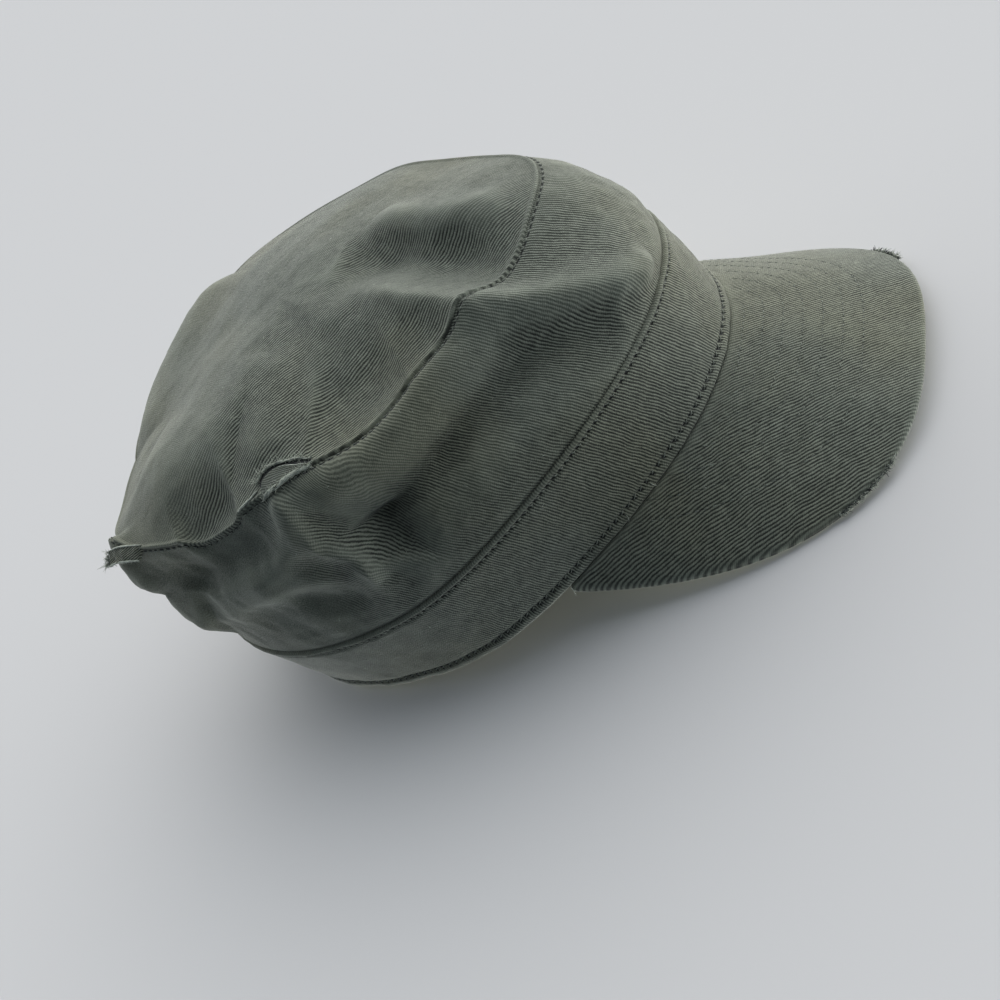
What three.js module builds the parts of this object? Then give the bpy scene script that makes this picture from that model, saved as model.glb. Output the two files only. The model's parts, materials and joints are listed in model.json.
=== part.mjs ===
// Soft military-style cap: a band, a crown side wall, a flat top panel and a stiff peak.
// Millimetres, +Z up. The wearer looks along -Y and the wearer's left is +X.
// Angles round the cap are in degrees from the front, positive towards +X.
// Levels run from 0 at the band's top, through 1 at the top seam, to 2 at the panel's middle.
import * as THREE from 'three';

// Driving dimensions of the head rim
const headLength = 204;
const headWidth = 158;
const frontTaper = 0.04;
const backSpread = 0.048;
const rimFrontRise = 5.8;
const rimSideDip = 7.9;

// Driving dimensions of the band
const bandHeight = 31;
const bandWall = 2.4;
const bandSideLean = 6.8;
const bandBackLean = 7;

// Driving dimensions of the crown
const crownHeight = 62;
const crownWall = 1.6;
const panelDome = 17.6;
const tuckInBand = 0.8;

// Driving dimensions of the peak
const peakDepth = 55.6;
const peakDroop = 34;
const peakHalfAngle = 56;
const peakFullness = 2.7;
const peakWall = 3.2;
const tuckUnderBand = 2;

// Clearance left at every sewn joint
const seamGap = 0.3;

// Steps of the faceted surfaces
const stepsRound = 96;
const bandRows = 3;
const wallRows = 13;
const panelRows = 8;
const peakSteps = 26;
const peakRows = 7;

// The top seam in equal steps round the cap, the first row at the back.
// out: seam radius as a share of the rim's radius in the same direction.
// high: seam height above the band's top as a share of crownHeight.
// bulge: how far the wall swells halfway up as a share of crownHeight.
const sections = [
  { at: -180, out: 0.93, high: 0.80, bulge: 0.02 },
  { at: -160, out: 0.97, high: 0.81, bulge: 0.01 },
  { at: -140, out: 1.02, high: 0.87, bulge: 0.00 },
  { at: -120, out: 0.97, high: 0.90, bulge: 0.01 },
  { at: -100, out: 0.92, high: 0.89, bulge: 0.03 },
  { at: -80, out: 0.86, high: 0.84, bulge: 0.06 },
  { at: -60, out: 0.83, high: 0.70, bulge: 0.07 },
  { at: -40, out: 0.78, high: 0.65, bulge: 0.07 },
  { at: -20, out: 0.76, high: 0.59, bulge: 0.06 },
  { at: 0, out: 0.79, high: 0.57, bulge: 0.07 },
  { at: 20, out: 0.85, high: 0.59, bulge: 0.08 },
  { at: 40, out: 0.83, high: 0.66, bulge: 0.08 },
  { at: 60, out: 0.83, high: 0.75, bulge: 0.07 },
  { at: 80, out: 0.87, high: 0.85, bulge: 0.06 },
  { at: 100, out: 0.90, high: 0.89, bulge: 0.05 },
  { at: 120, out: 0.93, high: 0.91, bulge: 0.04 },
  { at: 140, out: 0.93, high: 0.91, bulge: 0.03 },
  { at: 160, out: 0.92, high: 0.84, bulge: 0.03 },
];

// Folds and dents of the crown cloth, each along a path of [angle, level] stations.
// wide and rise are shares of crownHeight; a rise below zero is a hollow.
// edge: 2 is a soft round swell, lower is a crisper crest.
const folds = [
  { name: 'rear crest', path: [[40, 1.5], [13, 1.42], [9, 1.25], [8, 1.07]], wide: 0.13, rise: 0.05, edge: 2 },
  { name: 'front hollow', path: [[5, 1.62], [-2, 1.36], [-8, 1.13], [-10, 0.94]], wide: 0.145, rise: -0.13, edge: 2 },
  {
    name: 'front crest',
    path: [[-20, 1.5], [-23, 1.18], [-22, 0.95], [-18, 0.75], [-13, 0.55], [-6, 0.3], [0, 0.12]],
    wide: 0.12, rise: 0.1, edge: 1.8,
  },
  {
    name: 'seam roll',
    path: [[-28, 0.84], [-42, 0.84], [-52, 0.84], [-62, 0.84], [-76, 0.86]],
    wide: 0.13, rise: 0.13, edge: 2,
  },
  {
    name: 'wall valley',
    path: [[-12, 0.2], [-19, 0.4], [-28, 0.53], [-38, 0.57], [-48, 0.58], [-58, 0.57], [-70, 0.52]],
    wide: 0.16, rise: -0.08, edge: 2,
  },
  { name: 'valley pool', path: [[-74, 0.66], [-73, 0.45], [-77, 0.32]], wide: 0.145, rise: -0.065, edge: 2 },
  { name: 'knee', path: [[-95, 1.68], [-98, 1.55], [-94, 1.35], [-89, 1.12]], wide: 0.145, rise: 0.05, edge: 1.8 },
  { name: 'left puff', path: [[-150, 1.22], [-135, 1.34], [-115, 1.4], [-100, 1.3]], wide: 0.19, rise: 0.1, edge: 2 },
  { name: 'left valley', path: [[-134, 0.93], [-120, 0.8], [-107, 0.83], [-98, 0.9]], wide: 0.13, rise: -0.08, edge: 2 },
  {
    name: 'side ridge',
    path: [[-87, 0.95], [-91, 0.76], [-101, 0.63], [-112, 0.57], [-128, 0.5]],
    wide: 0.1, rise: 0.065, edge: 1.8,
  },
  { name: 'middle ridge', path: [[-91, 0.73], [-86, 0.62], [-82, 0.48], [-82, 0.26]], wide: 0.08, rise: 0.05, edge: 1.8 },
  { name: 'low hollow', path: [[-106, 0.38], [-97, 0.3], [-88, 0.2]], wide: 0.08, rise: -0.04, edge: 2 },
  { name: 'back sag', path: [[-142, 0.5], [-132, 0.36]], wide: 0.19, rise: 0.1, edge: 2 },
  { name: 'back puff', path: [[140, 1.1], [165, 1.12], [-168, 1.14]], wide: 0.29, rise: 0.11, edge: 2 },
  { name: 'far valley', path: [[28, 0.4], [48, 0.55], [70, 0.6]], wide: 0.16, rise: -0.05, edge: 2 },
];

// Colours and finish of the cloth
const cloth = {
  band: { color: 0x4b4f47, roughness: 0.95 },
  crown_side: { color: 0x4e5249, roughness: 0.95 },
  crown_top: { color: 0x565a50, roughness: 0.95 },
  peak: { color: 0x4d5148, roughness: 0.92 },
};

const degree = Math.PI / 180;
const nearZero = 1e-3;
const fullTurn = 2 * Math.PI;

function smooth(from, to, value) {
  const share = THREE.MathUtils.clamp((value - from) / (to - from), 0, 1);
  return share * share * (3 - 2 * share);
}

// Value of one column of the section table at any angle, curved through its rows
function sectionValue(column, angle) {
  const count = sections.length;
  const place = (angle + Math.PI) / fullTurn * count;
  const first = Math.floor(place);
  const share = place - first;
  const row = (step) => sections[(first + step + 2 * count) % count][column];
  const rise = row(1) - row(-1);
  const bend = 2 * row(-1) - 5 * row(0) + 4 * row(1) - row(2);
  const twist = 3 * (row(0) - row(1)) + row(2) - row(-1);
  return row(0) + 0.5 * share * (rise + share * (bend + share * twist));
}

// Head rim

// An ellipse, drawn in a little towards the corners of the forehead and filled out at the back
function rimRadius(angle) {
  const along = Math.cos(angle);
  const across = Math.sin(angle);
  const ellipse = 1 / Math.hypot(along / (headLength / 2), across / (headWidth / 2));
  const corner = along > 0 ? -frontTaper : backSpread;
  return ellipse * (1 + corner * Math.sin(2 * angle) ** 2);
}

function rimHeight(angle) {
  const along = Math.cos(angle);
  return rimFrontRise * (0.5 + 0.5 * along) ** 2 - rimSideDip * (1 - along * along);
}

function rimPoint(angle) {
  const radius = rimRadius(angle);
  return new THREE.Vector3(radius * Math.sin(angle), -radius * Math.cos(angle), rimHeight(angle));
}

// Level direction square to the rim, pointing away from the head
function rimOutward(angle) {
  const tangent = rimPoint(angle + nearZero).sub(rimPoint(angle - nearZero));
  const outward = new THREE.Vector3(tangent.y, -tangent.x, 0).normalize();
  return outward.dot(rimPoint(angle)) < 0 ? outward.negate() : outward;
}

// Direction up the band's slightly flared wall
function bandUpward(angle) {
  const lean = (bandSideLean - bandBackLean * Math.cos(angle)) * degree;
  const upward = rimOutward(angle).multiplyScalar(Math.sin(lean));
  upward.z = Math.cos(lean);
  return upward;
}

function bandPoint(angle, share) {
  return rimPoint(angle).addScaledVector(bandUpward(angle), bandHeight * share);
}

// Crown surface before folding

function crownFoot(angle) {
  return bandPoint(angle, 1)
    .addScaledVector(bandUpward(angle), seamGap)
    .addScaledVector(rimOutward(angle), -tuckInBand);
}

function seamPoint(angle) {
  const radius = rimRadius(angle) * sectionValue('out', angle);
  const height = bandPoint(angle, 1).z + crownHeight * sectionValue('high', angle);
  return new THREE.Vector3(radius * Math.sin(angle), -radius * Math.cos(angle), height);
}

const panelMiddle = new THREE.Vector3();
for (let step = 0; step < stepsRound; step += 1) {
  panelMiddle.addScaledVector(seamPoint(fullTurn * step / stepsRound), 1 / stepsRound);
}

function plainCrown(angle, level) {
  if (level <= 1) {
    const point = crownFoot(angle).lerp(seamPoint(angle), level);
    const swell = 4 * level * (1 - level) * crownHeight * sectionValue('bulge', angle);
    point.x += Math.sin(angle) * swell;
    point.y -= Math.cos(angle) * swell;
    return point;
  }
  const reach = 2 - level;
  const point = panelMiddle.clone().lerp(seamPoint(angle), reach);
  point.z += panelDome * (1 - reach * reach);
  return point;
}

// Folds, measured from curves that lie on the plain crown

const foldSteps = 60;
const foldFade = 0.85;

// A path is curved through its stations on a disc whose rim is the band and whose middle is the panel's
function foldCurve(path) {
  const stations = path.map(([angle, level]) => {
    const reach = 1 - level / 2;
    return new THREE.Vector3(reach * Math.sin(angle * degree), -reach * Math.cos(angle * degree), 0);
  });
  const flat = new THREE.CatmullRomCurve3(stations, false, 'catmullrom');
  const points = [];
  for (let step = 0; step <= foldSteps; step += 1) {
    const spot = flat.getPoint(step / foldSteps);
    const level = THREE.MathUtils.clamp(2 * (1 - Math.hypot(spot.x, spot.y)), 0, 2);
    points.push(plainCrown(Math.atan2(spot.x, -spot.y), level));
  }
  return points;
}

const foldLines = folds.map((fold) => ({ ...fold, points: foldCurve(fold.path) }));

function foldHeight(point) {
  let height = 0;
  for (const fold of foldLines) {
    let nearest = Infinity;
    let nearestStep = 0;
    fold.points.forEach((spot, step) => {
      const distance = spot.distanceTo(point);
      if (distance < nearest) {
        nearest = distance;
        nearestStep = step;
      }
    });
    const strength = 1 - foldFade * (2 * nearestStep / foldSteps - 1) ** 4;
    const share = Math.exp(-((nearest / (fold.wide * crownHeight)) ** fold.edge));
    height += fold.rise * crownHeight * strength * share;
  }
  return height;
}

const foldStart = 0.2;
const liftFrom = 0.35;
const liftTo = 1.15;

// The cloth is lifted outward near the band and upward on the panel
function crownPoint(angle, level) {
  const point = plainCrown(angle, level);
  const height = foldHeight(point) * smooth(0, foldStart, level);
  const tilt = 0.5 * Math.PI * smooth(liftFrom, liftTo, level);
  point.x += Math.sin(angle) * Math.cos(tilt) * height;
  point.y -= Math.cos(angle) * Math.cos(tilt) * height;
  point.z += Math.sin(tilt) * height;
  return point;
}

const levelStep = 0.004;
const angleStep = 0.01;

// Outward normal of the crown, worked out on one side of the seam only
function crownNormal(angle, level, onPanel) {
  const low = onPanel ? Math.max(level - levelStep, 1 + nearZero) : Math.max(level - levelStep, 0);
  const high = onPanel ? Math.min(level + levelStep, 2 - nearZero) : Math.min(level + levelStep, 1);
  const upward = crownPoint(angle, high).sub(crownPoint(angle, low));
  const middle = onPanel ? Math.max(level, 1 + nearZero) : level;
  const around = crownPoint(angle + angleStep, middle).sub(crownPoint(angle - angleStep, middle));
  return around.cross(upward).normalize();
}

// The two cloths meet on a mitre at the seam, each held back by half the gap
function seamMitre(angle) {
  const seam = crownPoint(angle, 1);
  const wallNormal = crownNormal(angle, 1, false);
  const panelNormal = crownNormal(angle, 1, true);
  const inner = seam.clone().addScaledVector(
    wallNormal.clone().add(panelNormal),
    -crownWall / (1 + wallNormal.dot(panelNormal)),
  );
  const along = crownPoint(angle + angleStep, 1).sub(crownPoint(angle - angleStep, 1)).normalize();
  const squareToSeam = (direction) => direction.addScaledVector(along, -direction.dot(along)).normalize();
  const wallUp = squareToSeam(seam.clone().sub(crownPoint(angle, 1 - levelStep)));
  const panelOut = squareToSeam(seam.clone().sub(crownPoint(angle, 1 + levelStep)));
  return { seam, inner, wallUp, panelOut };
}

const mitres = [];
for (let step = 0; step < stepsRound; step += 1) {
  mitres.push(seamMitre(fullTurn * step / stepsRound - Math.PI));
}

// Closed bodies from an outer and an inner grid of points

function addPoint(body, point) {
  const key = [point.x, point.y, point.z].map((value) => Math.round(value / nearZero)).join(' ');
  if (!body.found.has(key)) {
    body.found.set(key, body.points.length);
    body.points.push(point);
  }
  return body.found.get(key);
}

function addFace(body, a, b, c) {
  if (a !== b && b !== c && c !== a) {
    body.faces.push([a, b, c]);
  }
}

// A strip of facets between two rows; a smooth strip is split along each facet's shorter diagonal
function addStrip(body, first, second, smoothStrip = false) {
  for (let step = 0; step < first.length - 1; step += 1) {
    const [a, b, c, d] = [first[step], first[step + 1], second[step + 1], second[step]];
    const crossed = body.points[b].distanceTo(body.points[d]) < body.points[a].distanceTo(body.points[c]);
    if (smoothStrip && crossed) {
      addFace(body, a, b, d);
      addFace(body, b, c, d);
    } else {
      addFace(body, a, b, c);
      addFace(body, a, c, d);
    }
  }
}

function signedVolume(body) {
  return body.faces.reduce((sum, [a, b, c]) => {
    const across = body.points[b].clone().cross(body.points[c]);
    return sum + body.points[a].dot(across) / 6;
  }, 0);
}

// Each grid is a list of rows; closed rows run all the way round
function shellGeometry(outerRows, innerRows, closedRows) {
  const body = { points: [], faces: [], found: new Map() };
  const index = (rows) => rows.map((row) => {
    const numbers = row.map((point) => addPoint(body, point));
    return closedRows ? [...numbers, numbers[0]] : numbers;
  });
  const outer = index(outerRows);
  const inner = index(innerRows);
  const last = outer.length - 1;
  for (let row = 0; row < last; row += 1) {
    addStrip(body, outer[row], outer[row + 1], true);
    addStrip(body, inner[row + 1], inner[row], true);
  }
  addStrip(body, inner[0], outer[0]);
  addStrip(body, outer[last], inner[last]);
  if (!closedRows) {
    const end = outer[0].length - 1;
    addStrip(body, outer.map((row) => row[0]), inner.map((row) => row[0]));
    addStrip(body, inner.map((row) => row[end]), outer.map((row) => row[end]));
  }
  const flip = signedVolume(body) < 0;
  const geometry = new THREE.BufferGeometry();
  const corners = body.points.flatMap((point) => point.toArray());
  geometry.setAttribute('position', new THREE.Float32BufferAttribute(corners, 3));
  geometry.setIndex(body.faces.flatMap(([a, b, c]) => (flip ? [a, c, b] : [a, b, c])));
  geometry.computeVertexNormals();
  return geometry;
}

function shares(count) {
  return Array.from({ length: count + 1 }, (_, step) => step / count);
}

const anglesRound = Array.from({ length: stepsRound }, (_, step) => fullTurn * step / stepsRound - Math.PI);

function makeMesh(name, geometry) {
  const material = new THREE.MeshStandardMaterial({ ...cloth[name], metalness: 0 });
  material.name = name;
  const mesh = new THREE.Mesh(geometry, material);
  mesh.name = name;
  return mesh;
}

// Band: a flared ring of doubled cloth
function makeBand() {
  const outer = shares(bandRows).map((share) => anglesRound.map((angle) => bandPoint(angle, share)));
  const inner = shares(bandRows).map((share) => anglesRound.map((angle) => (
    bandPoint(angle, share).addScaledVector(rimOutward(angle), -bandWall)
  )));
  return makeMesh('band', shellGeometry(outer, inner, true));
}

// Crown side wall: stands on the band and ends on the seam's mitre
function makeCrownSide() {
  const levels = shares(wallRows);
  const outer = levels.map((level) => anglesRound.map((angle, step) => {
    const mitre = mitres[step];
    return level < 1 ? crownPoint(angle, level) : mitre.seam.clone().addScaledVector(mitre.wallUp, -seamGap / 2);
  }));
  const inner = levels.map((level) => anglesRound.map((angle, step) => {
    const mitre = mitres[step];
    if (level === 1) {
      return mitre.inner.clone().addScaledVector(mitre.wallUp, -seamGap / 2);
    }
    const inward = level === 0 ? rimOutward(angle) : crownNormal(angle, level, false);
    return crownPoint(angle, level).addScaledVector(inward, -crownWall);
  }));
  return makeMesh('crown_side', shellGeometry(outer, inner, true));
}

// Top panel: a shallow oval dome of one cloth.
// Its rows run out to the seam, so that both cloths split their facets there along the same diagonals.
function makeCrownTop() {
  const levels = shares(panelRows).map((share) => 2 - share);
  const outer = levels.map((level) => anglesRound.map((angle, step) => {
    const mitre = mitres[step];
    return level > 1 ? crownPoint(angle, level) : mitre.seam.clone().addScaledVector(mitre.panelOut, -seamGap / 2);
  }));
  const inner = levels.map((level) => anglesRound.map((angle, step) => {
    const mitre = mitres[step];
    if (level === 1) {
      return mitre.inner.clone().addScaledVector(mitre.panelOut, -seamGap / 2);
    }
    if (level === 2) {
      return crownPoint(angle, level).add(new THREE.Vector3(0, 0, -crownWall));
    }
    return crownPoint(angle, level).addScaledVector(crownNormal(angle, level, true), -crownWall);
  }));
  return makeMesh('crown_top', shellGeometry(outer, inner, true));
}

// Peak: a stiff board that starts under the band's front edge and slopes forward and down

function peakEdge(turn) {
  const corner = rimPoint(peakHalfAngle * degree);
  const bow = 2 / peakFullness;
  const sweep = turn * Math.PI / 2;
  const reach = headLength / 2 + peakDepth * Math.cos(peakDroop * degree) + corner.y;
  const edge = new THREE.Vector3();
  edge.x = corner.x * Math.sign(sweep) * Math.abs(Math.sin(sweep)) ** bow;
  edge.y = corner.y - reach * Math.max(Math.cos(sweep), 0) ** bow;
  const start = rimPoint(turn * peakHalfAngle * degree);
  edge.z = start.z - seamGap - Math.tan(peakDroop * degree) * (start.y - edge.y);
  return edge;
}

function peakPoint(turn, share) {
  const start = rimPoint(turn * peakHalfAngle * degree);
  start.z -= seamGap;
  return start.lerp(peakEdge(turn), share);
}

function peakInnerPoint(turn) {
  const angle = turn * peakHalfAngle * degree;
  const point = rimPoint(angle).addScaledVector(rimOutward(angle), -tuckUnderBand);
  point.z -= seamGap;
  return point;
}

const peakThrough = new THREE.Vector3(0, Math.sin(peakDroop * degree), -Math.cos(peakDroop * degree));
peakThrough.multiplyScalar(peakWall);

function makePeak() {
  const turns = shares(peakSteps).map((share) => 2 * share - 1);
  const top = [turns.map((turn) => peakInnerPoint(turn))];
  shares(peakRows).forEach((share) => top.push(turns.map((turn) => peakPoint(turn, share))));
  const under = top.map((row) => row.map((point) => point.clone().add(peakThrough)));
  return makeMesh('peak', shellGeometry(top, under, false));
}

// The cap stands by itself on the peak's lower edge and the back of the rim, so its rim leans forward.
// The lean is that of the line that touches both from below, seen from the side.
function restLean() {
  const backs = anglesRound.filter((angle) => Math.cos(angle) < 0).map((angle) => rimPoint(angle));
  const slopes = shares(peakSteps).map((share) => {
    const front = peakEdge(2 * share - 1).add(peakThrough);
    return Math.min(...backs.map((back) => (back.z - front.z) / (back.y - front.y)));
  });
  return -Math.atan(Math.max(...slopes));
}

const worn = new THREE.Group();
worn.add(makeBand(), makeCrownSide(), makeCrownTop(), makePeak());
worn.rotation.x = restLean();
worn.updateMatrixWorld(true);

// The origin is under the middle of the whole cap, on the surface that it stands on
const box = new THREE.Box3().setFromObject(worn, true);
const middle = box.getCenter(new THREE.Vector3());
worn.position.set(-middle.x, -middle.y, -box.min.z);

const cap = new THREE.Group();
cap.add(worn);

export default cap;
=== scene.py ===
import json
import math

import bmesh
import bpy
import numpy as np
from mathutils import Matrix, Vector


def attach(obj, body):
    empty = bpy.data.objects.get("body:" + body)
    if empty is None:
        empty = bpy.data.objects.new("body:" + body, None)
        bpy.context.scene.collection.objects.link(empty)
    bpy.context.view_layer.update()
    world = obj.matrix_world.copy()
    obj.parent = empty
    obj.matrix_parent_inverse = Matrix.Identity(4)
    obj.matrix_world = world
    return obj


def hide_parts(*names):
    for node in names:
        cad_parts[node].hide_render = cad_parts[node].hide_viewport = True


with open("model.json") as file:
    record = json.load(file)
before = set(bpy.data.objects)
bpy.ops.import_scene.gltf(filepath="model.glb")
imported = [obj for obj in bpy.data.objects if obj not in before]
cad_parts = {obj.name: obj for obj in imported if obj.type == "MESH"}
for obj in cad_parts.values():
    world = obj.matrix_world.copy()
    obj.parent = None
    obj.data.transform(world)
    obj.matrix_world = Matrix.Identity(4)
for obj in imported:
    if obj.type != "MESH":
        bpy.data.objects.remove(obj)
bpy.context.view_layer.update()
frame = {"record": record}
print("stage: frame loaded")

# form of the cap
# Millimetres in the worn frame: the wearer looks along -y, +z is square to the head rim.
# Angles go round from the front, positive towards the wearer's left.
# Levels run from 0 at the band's top, through 1 at the top seam, to 2 at the panel's middle.

rim = {"length": 204, "width": 158, "frontTaper": 0.04, "backSpread": 0.048, "frontRise": 5.8, "sideDip": 7.9}

band = {
    "height": 31, "wall": 2.4, "sideLean": 6.8, "backLean": 7,
    "hemHeight": 3.7,      # stitched hem at the lower edge
    "topHeight": 1.6,      # stitched roll at the upper edge
    "hemFull": 0.45, "grooveDeep": 0.5, "grooveWide": 0.75,
    "columns": 720, "rows": 40, "innerRows": 6,
}

crown = {
    "height": 62, "wall": 1.6, "dome": 17.6, "tuck": 0.8, "gap": 0.3,
    "foldFade": 0.85, "foldStart": 0.2, "liftFrom": 0.35, "liftTo": 1.15,
    "columns": 720, "wallRows": 58, "panelRows": 62, "innerRows": 14,
}

# the top seam round the cap: radius and height as shares of the rim's radius and the crown's height
# out, high and bulge first came from a fit to the photo's outlines
sections = [
    {"at": -180, "out": 0.93, "high": 0.79, "bulge": 0.02},
    {"at": -160, "out": 0.97, "high": 0.81, "bulge": 0.01},
    {"at": -140, "out": 1.02, "high": 0.87, "bulge": 0.00},
    {"at": -120, "out": 0.97, "high": 0.90, "bulge": 0.01},
    {"at": -100, "out": 0.92, "high": 0.89, "bulge": 0.03},
    {"at": -80, "out": 0.86, "high": 0.84, "bulge": 0.06},
    {"at": -60, "out": 0.82, "high": 0.71, "bulge": 0.07},
    {"at": -40, "out": 0.77, "high": 0.65, "bulge": 0.07},
    {"at": -20, "out": 0.75, "high": 0.57, "bulge": 0.06},
    {"at": 0, "out": 0.78, "high": 0.57, "bulge": 0.07},
    {"at": 20, "out": 0.85, "high": 0.59, "bulge": 0.08},
    {"at": 40, "out": 0.84, "high": 0.65, "bulge": 0.08},
    {"at": 60, "out": 0.84, "high": 0.75, "bulge": 0.07},
    {"at": 80, "out": 0.87, "high": 0.85, "bulge": 0.06},
    {"at": 100, "out": 0.90, "high": 0.89, "bulge": 0.05},
    {"at": 120, "out": 0.93, "high": 0.91, "bulge": 0.04},
    {"at": 140, "out": 0.93, "high": 0.91, "bulge": 0.03},
    {"at": 160, "out": 0.92, "high": 0.84, "bulge": 0.03},
]

# folds and dents along paths of (angle, level); wide and rise are shares of the crown's height
folds = [
    {"name": "rear crest", "path": [(40, 1.5), (13, 1.42), (9, 1.25), (8, 1.07)], "wide": 0.13, "rise": 0.05, "edge": 2},
    {"name": "front hollow", "path": [(12, 1.74), (3, 1.5), (-4, 1.26), (-9, 1.0)],
     "wide": 0.17, "rise": -0.13, "edge": 2},
    {"name": "front crest",
     "path": [(-20, 1.5), (-23, 1.18), (-22, 0.95), (-18, 0.75), (-13, 0.55), (-6, 0.3), (0, 0.12)],
     "wide": 0.11, "rise": 0.11, "edge": 1.8},
    {"name": "seam roll", "path": [(-22, 0.93), (-33, 0.88), (-46, 0.87), (-56, 0.87), (-66, 0.86), (-79, 0.86), (-91, 0.9)],
     "wide": 0.12, "rise": 0.085, "edge": 2},
    {"name": "wall valley",
     "path": [(-12, 0.22), (-19, 0.42), (-28, 0.58), (-38, 0.63), (-48, 0.64), (-58, 0.63), (-71, 0.6), (-84, 0.6)],
     "wide": 0.15, "rise": -0.115, "edge": 2},
    {"name": "valley pool", "path": [(-74, 0.64), (-74, 0.45), (-77, 0.32)], "wide": 0.16, "rise": -0.16, "edge": 2},
    {"name": "knee", "path": [(-95, 1.68), (-98, 1.55), (-94, 1.35), (-89, 1.12)],
     "wide": 0.145, "rise": 0.03, "edge": 1.8},
    {"name": "panel dip", "path": [(-38, 1.2), (-56, 1.22), (-68, 1.3)], "wide": 0.25, "rise": -0.045, "edge": 2},
    {"name": "left puff", "path": [(-150, 1.22), (-135, 1.3), (-115, 1.33), (-100, 1.28)],
     "wide": 0.25, "rise": 0.06, "edge": 2},
    {"name": "left valley", "path": [(-127, 0.86), (-118, 0.82), (-107, 0.84), (-98, 0.9)],
     "wide": 0.14, "rise": -0.05, "edge": 2},
    {"name": "left dip", "path": [(-120, 1.01), (-112, 1.07), (-103, 1.12)], "wide": 0.16, "rise": -0.1, "edge": 2},
    {"name": "left hollow", "path": [(-124, 0.86), (-127, 0.6)], "wide": 0.14, "rise": -0.06, "edge": 2},
    {"name": "corner sag", "path": [(-144, 0.99), (-142, 0.8), (-140, 0.58)], "wide": 0.16, "rise": 0.145, "edge": 2},
    {"name": "side ridge", "path": [(-87, 0.95), (-90, 0.76), (-99, 0.63), (-111, 0.57), (-128, 0.5)],
     "wide": 0.1, "rise": 0.06, "edge": 1.8},
    {"name": "middle ridge", "path": [(-91, 0.73), (-86, 0.62), (-82, 0.48), (-82, 0.26)],
     "wide": 0.085, "rise": 0.042, "edge": 1.8},
    {"name": "low hollow", "path": [(-106, 0.38), (-97, 0.3), (-88, 0.2)], "wide": 0.08, "rise": -0.03, "edge": 2},
    {"name": "corner hang", "path": [(-150, 0.82), (-148, 0.62), (-144, 0.4)], "wide": 0.14, "rise": 0.085, "edge": 2},
    {"name": "back sag", "path": [(-142, 0.45), (-132, 0.34)], "wide": 0.17, "rise": 0.1, "edge": 2},
    {"name": "back puff", "path": [(140, 1.1), (165, 1.12), (-168, 1.14)], "wide": 0.29, "rise": 0.11, "edge": 2},
    {"name": "far valley", "path": [(28, 0.4), (48, 0.55), (70, 0.6)], "wide": 0.16, "rise": -0.05, "edge": 2},
]

# narrow creases that the solids leave out
fineFolds = [
    {"name": "thin crease", "path": [(-88, 0.98), (-86, 0.75), (-87, 0.6), (-82, 0.45), (-84, 0.23)],
     "wide": 0.035, "rise": 0.02, "edge": 1.6},
    {"name": "low crease", "path": [(-137, 0.3), (-118, 0.44), (-100, 0.49), (-88, 0.4)],
     "wide": 0.06, "rise": 0.025, "edge": 1.8},
]

opening = next(m for m in frame["record"]["mounts"] if m["name"] == "head_opening")
restLean = math.atan2(opening["axis"][1], -opening["axis"][2])
restTurn = np.array([
    [1, 0, 0],
    [0, math.cos(restLean), -math.sin(restLean)],
    [0, math.sin(restLean), math.cos(restLean)],
])
restShift = np.array(opening["pos_m"], float)


def toRow(points):
    return np.asarray(points) @ restTurn.T / 1000 + restShift


def smooth(low, high, value):
    share = np.clip((value - low) / (high - low), 0, 1)
    return share * share * (3 - 2 * share)


def unit(vectors):
    return vectors / np.maximum(np.linalg.norm(vectors, axis=-1, keepdims=True), 1e-12)


def radial(angle):
    return np.stack([np.sin(angle), -np.cos(angle), np.zeros_like(angle)], -1)


def sectionValue(column, angle):
    rows = np.array([row[column] for row in sections])
    count = len(rows)
    place = (angle + math.pi) / (2 * math.pi) * count
    first = np.floor(place).astype(int)
    share = place - first
    before, here, after, last = (rows[(first + step) % count] for step in (-1, 0, 1, 2))
    bend = 2 * before - 5 * here + 4 * after - last
    twist = 3 * (here - after) + last - before
    return here + 0.5 * share * (after - before + share * (bend + share * twist))


def rimPoint(angle):
    along, across = np.cos(angle), np.sin(angle)
    ellipse = 1 / np.hypot(along / (rim["length"] / 2), across / (rim["width"] / 2))
    corner = np.where(along > 0, -rim["frontTaper"], rim["backSpread"])
    radius = ellipse * (1 + corner * np.sin(2 * angle) ** 2)
    height = rim["frontRise"] * (0.5 + 0.5 * along) ** 2 - rim["sideDip"] * (1 - along * along)
    point = radial(angle) * radius[..., None]
    point[..., 2] = height
    return point


def rimOutward(angle):
    tangent = rimPoint(angle + 1e-3) - rimPoint(angle - 1e-3)
    outward = unit(np.stack([tangent[..., 1], -tangent[..., 0], np.zeros_like(angle)], -1))
    side = np.sign((outward * rimPoint(angle)).sum(-1))
    return outward * side[..., None]


def bandUpward(angle):
    lean = np.radians(band["sideLean"] - band["backLean"] * np.cos(angle))
    upward = rimOutward(angle) * np.sin(lean)[..., None]
    upward[..., 2] = np.cos(lean)
    return upward


def bandPoint(angle, height):
    return rimPoint(angle) + bandUpward(angle) * np.asarray(height)[..., None]


def crownFoot(angle):
    top = bandPoint(angle, np.full_like(angle, band["height"] + crown["gap"]))
    return top - rimOutward(angle) * crown["tuck"]


def seamPoint(angle):
    rimRadius = np.linalg.norm(rimPoint(angle)[..., :2], axis=-1)
    point = radial(angle) * (rimRadius * sectionValue("out", angle))[..., None]
    top = bandPoint(angle, np.full_like(angle, band["height"]))[..., 2]
    point[..., 2] = top + crown["height"] * sectionValue("high", angle)
    return point


panelMiddle = seamPoint(np.linspace(0, 2 * math.pi, 96, endpoint=False)).mean(0)


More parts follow.
